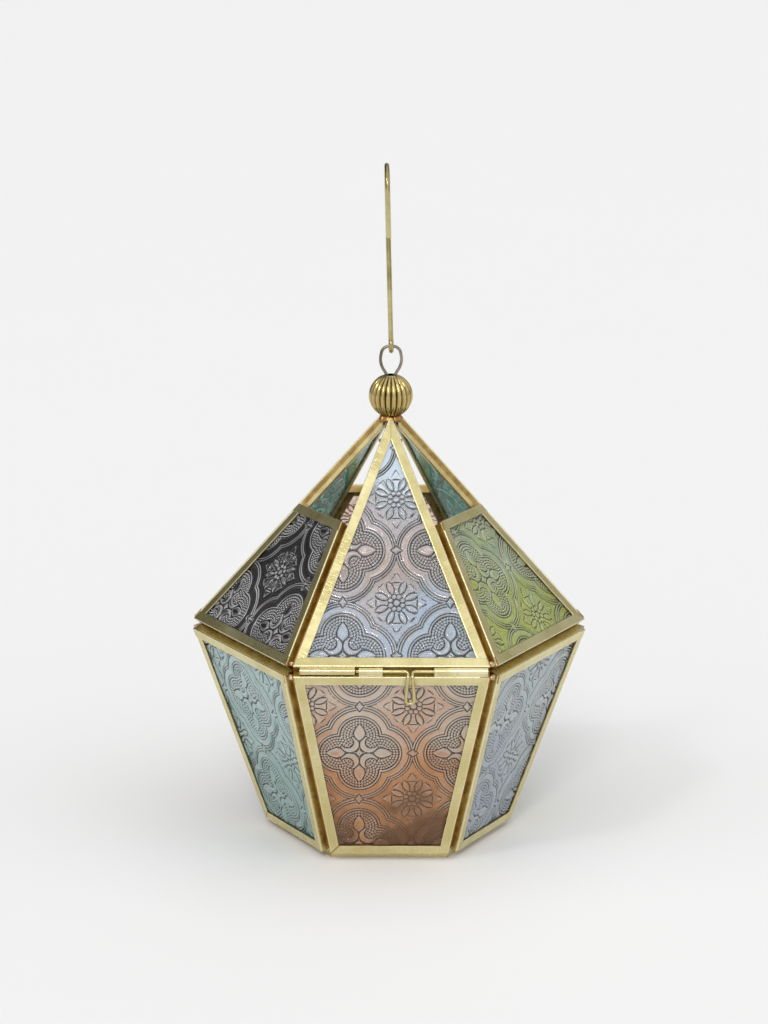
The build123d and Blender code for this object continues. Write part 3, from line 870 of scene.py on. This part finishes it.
PALE = (0.81, 0.74, 0.44)
DEEP = (0.63, 0.55, 0.26)
TARNISH = (0.28, 0.17, 0.06)
BLACKENED = (0.07, 0.035, 0.015)
METALS = {
    "satin_brass": dict(
        pale=PALE, deep=DEEP, tarnish=TARNISH, rough=0.28, spots=0.4, bump=0.6,
        brushed=(2.6, 0.10, 1), worn_and_highlit=True, grime=(0.44, 0.31, 0.11),
    ),
    "floor_brass": dict(
        pale=(0.60, 0.46, 0.22), deep=(0.42, 0.29, 0.12), tarnish=(0.16, 0.09, 0.04), rough=0.38, spots=0.8
    ),
    "tube_brass": dict(
        pale=(0.84, 0.77, 0.50), deep=(0.62, 0.53, 0.26), tarnish=TARNISH, rough=0.17, spots=0.6
    ),
    "bolt_brass": dict(
        pale=(0.72, 0.63, 0.34), deep=(0.46, 0.37, 0.15), tarnish=TARNISH, rough=0.16, spots=0.6
    ),
    "wire_brass": dict(
        pale=(0.62, 0.54, 0.28), deep=(0.34, 0.27, 0.11), tarnish=(0.18, 0.12, 0.04), rough=0.16, spots=0.6
    ),
    "ball_brass": dict(
        pale=(0.70, 0.58, 0.27), deep=(0.52, 0.40, 0.14), tarnish=(0.20, 0.12, 0.04), rough=0.16, spots=0.4,
        grime=(0.09, 0.05, 0.015),
    ),
    "seam_solder": dict(
        pale=(0.52, 0.30, 0.09), deep=(0.34, 0.17, 0.045), tarnish=(0.16, 0.07, 0.02), rough=0.30,
        spots=0.7, bump=0.8,
    ),
    "solder_blob": dict(
        pale=(0.68, 0.56, 0.40), deep=(0.40, 0.24, 0.10), tarnish=(0.20, 0.08, 0.03), rough=0.20,
        spots=0.7, bump=0.8,
    ),
    "collar_patina": dict(
        pale=(0.50, 0.30, 0.10), deep=(0.24, 0.12, 0.04), tarnish=BLACKENED, rough=0.30, spots=0.9, bump=0.9
    ),
    "eye_steel": dict(
        pale=(0.36, 0.32, 0.25), deep=(0.17, 0.14, 0.10), tarnish=(0.07, 0.05, 0.03), rough=0.20, spots=0.6
    ),
}
metals = {name: brass(name, **looks) for name, looks in METALS.items()}

GLASS = {
    "glass_amber": dict(
        crest_highlight=(1.0, 0.97, 0.92), clear=(1.0, 0.83, 0.68),
        stain=(0.92, 0.43, 0.17), deep=(0.006, 0.002, 0.001),
        rough=0.03, body=0.70, shade=1.0, foot_shade=0.95, stained=(0.03, 0.27, 0.46),
    ),
    "glass_aqua": dict(
        crest_highlight=(1.0, 1.0, 1.0), clear=(0.57, 0.81, 0.80),
        stain=(0.46, 0.68, 0.65), deep=(0.01, 0.05, 0.05),
        rough=0.06, body=0.62, shade=0.9, foot_shade=0.05, stained=(0.0, 0.2, 0.4),
    ),
    "glass_lavender": dict(
        crest_highlight=(1.0, 1.0, 1.0), clear=(0.67, 0.79, 0.82),
        stain=(0.60, 0.69, 0.78), deep=(0.015, 0.025, 0.05),
        rough=0.06, body=0.62, shade=0.9, foot_shade=0.05, stained=(0.0, 0.2, 0.4),
    ),
    "glass_lilac": dict(
        crest_highlight=(1.0, 1.0, 1.0), clear=(0.76, 0.87, 1.0),
        stain=(1.0, 0.83, 0.77), deep=(0.005, 0.006, 0.014),
        rough=0.03, body=0.75, shade=0.95, stained=(-0.06, 0.36, -0.12),
    ),
    "glass_olive": dict(
        crest_highlight=(1.0, 1.0, 0.86), clear=(0.70, 0.81, 0.60),
        stain=(0.78, 0.83, 0.17), deep=(0.01, 0.015, 0.001),
        rough=0.04, body=0.72, shade=1.0, stained=(-0.08, 0.11, 0.3),
    ),
    "glass_teal": dict(
        crest_highlight=(0.85, 1.0, 0.96), clear=(0.20, 0.68, 0.56),
        stain=(0.05, 0.40, 0.30), deep=(0.001, 0.006, 0.005),
        rough=0.04, body=0.70, shade=0.95,
    ),
    "glass_smoke": dict(
        crest_highlight=(1.0, 0.99, 1.0), clear=(0.035, 0.03, 0.033),
        stain=(0.015, 0.013, 0.015), deep=(0.0, 0.0, 0.0),
        rough=0.03, body=0.52, shade=1.0,
    ),
    "glass_rose": dict(
        crest_highlight=(1.0, 0.92, 0.88), clear=(0.96, 0.78, 0.68),
        stain=(0.92, 0.60, 0.48), deep=(0.08, 0.03, 0.02),
        rough=0.04, body=0.93, shade=0.6, foot_shade=0.2,
    ),
}
glasses = {name: glass(name, **looks) for name, looks in GLASS.items()}

# ---------------------------------------------------------------- the object
# Each pane's glass, and where in the pattern it was cut
WALL_GLASS = {
    "front": ("glass_amber", (-14.0, 55.3)),
    "front_left": ("glass_aqua", (-6.5, 69.0)),
    "front_right": ("glass_lavender", (-18.0, 65.2)),
    "back": ("glass_lilac", (4.0, 30.0)),
    "back_left": ("glass_rose", (-19.0, 40.0)),
    "back_right": ("glass_olive", (12.0, 62.0)),
}
ROOF_GLASS = {
    "front": ("glass_lilac", (-21.6, 5.3)),
    "front_left": ("glass_smoke", (20.0, 11.2)),
    "front_right": ("glass_olive", (-11.9, 37.0)),
    "back": ("glass_rose", (-9.0, 22.0)),
    "back_left": ("glass_teal", (0.0, 40.0)),
    "back_right": ("glass_teal", (7.0, 52.0)),
}
WALL_LAPS = {(2, "over"), (1, "over"), (0, "mitre")}
SHORT_ROOF_LAPS = {(0, "over"), (2, "over")}
TALL_ROOF_LAPS = {(0, "over")}

for side in SIDES:
    wall, roof = Panel("base", side), Panel("roof", side)
    frame_of("base", side, wall, "base", metals["satin_brass"], WALL_LAPS)
    roof_laps = TALL_ROOF_LAPS if roof.tall else SHORT_ROOF_LAPS
    frame_of("roof", side, roof, "lid", metals["satin_brass"], roof_laps)
    tint, offset = WALL_GLASS[side]
    pane_of("base", side, wall, "base", glasses[tint], offset)
    tint, offset = ROOF_GLASS[side]
    pane_of("roof", side, roof, "lid", glasses[tint], offset)

ball_of(metals["ball_brass"])
collar_of(metals["collar_patina"])

# solder lumps on the walls and on the lid, at each corner of the rim
rng = np.random.default_rng(7)
for k in range(6):
    for body, (out, up, radii) in RIM_LUMPS.items():
        at = np.append(level_way(60 * k) * (CORNER_R + out), RIM_Z + up)
        size = rng.uniform(*radii) * LUMP_FLATNESS
        blob_at(f"rim_solder_{body}_{k}", at, size, body, metals["solder_blob"], rng)


def floor_channel(material):
    """The folded channel under the walls, its outer face down on the table."""
    lo, hi = (np.array(v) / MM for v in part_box("floor_frame"))
    reach = (hi[0] - lo[0]) / 2
    outline = [reach * level_way(60 * i) for i in range(6)]

    def place(u, v, w):
        u, v, w = np.broadcast_arrays(u, v, w)
        return np.stack([u, -v, lo[2] - w], -1)

    parts = no_parts()
    rng = np.random.default_rng(50)
    for i in range(6):
        cut = turn_cut(outline, i, True)
        ends = (outline[i], outline[(i + 1) % 6])
        add_rail(parts, place, hi[2] - lo[2], *ends, (cut, cut), 0.0, rng, grime=FLOOR_GRIME)
    made = finish_channel("floor_channel", parts, "base", material)
    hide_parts("floor_frame")


floor_channel(metals["satin_brass"])

# Shapes that stay as the CAD made them
CARRIED = {
    "floor_plate": "floor_brass",
    "base_solder_seams": "seam_solder",
    "roof_solder_seams": "seam_solder",
    "latch_guide_short": "tube_brass",
    "latch_guide_long": "tube_brass",
    "latch_receiver": "tube_brass",
    "hinge_knuckle_left": "tube_brass",
    "hinge_knuckle_right": "tube_brass",
    "hinge_knuckle_middle": "tube_brass",
    "hinge_pin": "wire_brass",
    "slide_bolt": "bolt_brass",
    "eye_loop": "eye_steel",
    "hanging_hook": "wire_brass",
}
for node, metal in CARRIED.items():
    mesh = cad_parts[node].data
    if not mesh.materials:
        mesh.materials.append(metals[metal])
    for i in range(len(mesh.materials)):
        mesh.materials[i] = metals[metal]

# ---------------------------------------------------------------- stage, light and camera
FLOOR_HALF = 30.0  # metres
corners = [(-FLOOR_HALF, -FLOOR_HALF, 0), (FLOOR_HALF, -FLOOR_HALF, 0)]
corners += [(FLOOR_HALF, FLOOR_HALF, 0), (-FLOOR_HALF, FLOOR_HALF, 0)]
floor_mesh = bpy.data.meshes.new("floor")
floor_mesh.from_pydata(corners, [], [(0, 1, 2, 3)])
ground = bpy.data.objects.new("floor", floor_mesh)
bpy.context.scene.collection.objects.link(ground)
paper = Nodes(bpy.data.materials.new("plain_floor"))
paper.shader.inputs["Roughness"].default_value = 0.9
paper.shader.inputs["Specular IOR Level"].default_value = 0.1
whites = paper.mix(paper.noise(paper.coords(), 3, 2), (0.917, 0.917, 0.917), (0.923, 0.923, 0.923))
paper.link(whites, paper.shader.inputs["Base Color"])
floor_mesh.materials.append(paper.owner)

scene = bpy.context.scene
scene.view_settings.view_transform = "Standard"

SKY = 0.556
BACKDROP = 0.9  # the studio's wall, as it is seen past the lantern
# direction, cosine where it starts, cosine where it is full, brightness added
SOFTBOXES = [
    ((0.0, -0.90, 0.43), 0.60, 0.95, 0.44),
    ((-0.76, -0.25, 0.60), 0.80, 0.97, 0.67),
    ((0.76, -0.25, 0.60), 0.80, 0.97, 0.67),
    ((0.0, 0.20, 0.98), 0.76, 0.95, 0.46),
    ((0.80, 0.45, 0.40), 0.60, 0.95, -0.10),
    ((-0.80, 0.50, 0.33), 0.35, 0.90, -0.41),
]
scene.world = bpy.data.worlds.new("studio")
studio = Nodes(scene.world)
direction = studio.add("ShaderNodeTexCoord").outputs["Generated"]
total = SKY
for towards, start, full, amount in SOFTBOXES:
    dot = studio.add("ShaderNodeVectorMath", operation="DOT_PRODUCT")
    dot.inputs[1].default_value = unit(towards)
    studio.link(direction, dot.inputs[0])
    lobe = studio.map(dot.outputs["Value"], start, full, 0.0, amount, smooth=True)
    total = studio.math("ADD", lobe, total)
seen = studio.add("ShaderNodeMix")
studio.link(studio.add("ShaderNodeLightPath").outputs["Is Camera Ray"], seen.inputs[0])
studio.link(total, seen.inputs[2])
seen.inputs[3].default_value = BACKDROP
studio.link(seen.outputs[0], studio.shader.inputs["Strength"])
studio.shader.inputs["Color"].default_value = (1, 1, 1, 1)

# where each lamp shines from, strength, apparent size in degrees
LAMPS = {
    "key": ((-0.12, -0.80, 0.59), 0.63, 16.0),
    "glint": ((-0.50, -0.52, 0.69), 0.24, 7.0),
}
for name, (towards, strength, size) in LAMPS.items():
    sun = bpy.data.lights.new(name, "SUN")
    sun.energy = strength
    sun.angle = math.radians(size)
    lamp = bpy.data.objects.new(name, sun)
    lamp.rotation_mode = "QUATERNION"
    lamp.rotation_quaternion = Vector(towards).to_track_quat("Z", "Y")
    scene.collection.objects.link(lamp)

EYE = Vector((-21.144, -1410.737, 500.285)) * MM
LOOK = Vector((0.012642, 0.970704, -0.239947))
UPWARDS = Vector((-0.002952, 0.240001, 0.970768))
camera_data = bpy.data.cameras.new("camera")
camera_data.lens = 110.786
camera_data.sensor_width = 36.0
camera_data.clip_start, camera_data.clip_end = 0.05, 100.0
camera = bpy.data.objects.new("camera", camera_data)
side_way = LOOK.cross(UPWARDS).normalized()
true_up = side_way.cross(LOOK)
camera.matrix_world = Matrix.Translation(EYE) @ Matrix((side_way, true_up, -LOOK)).transposed().to_4x4()
scene.collection.objects.link(camera)
scene.camera = camera
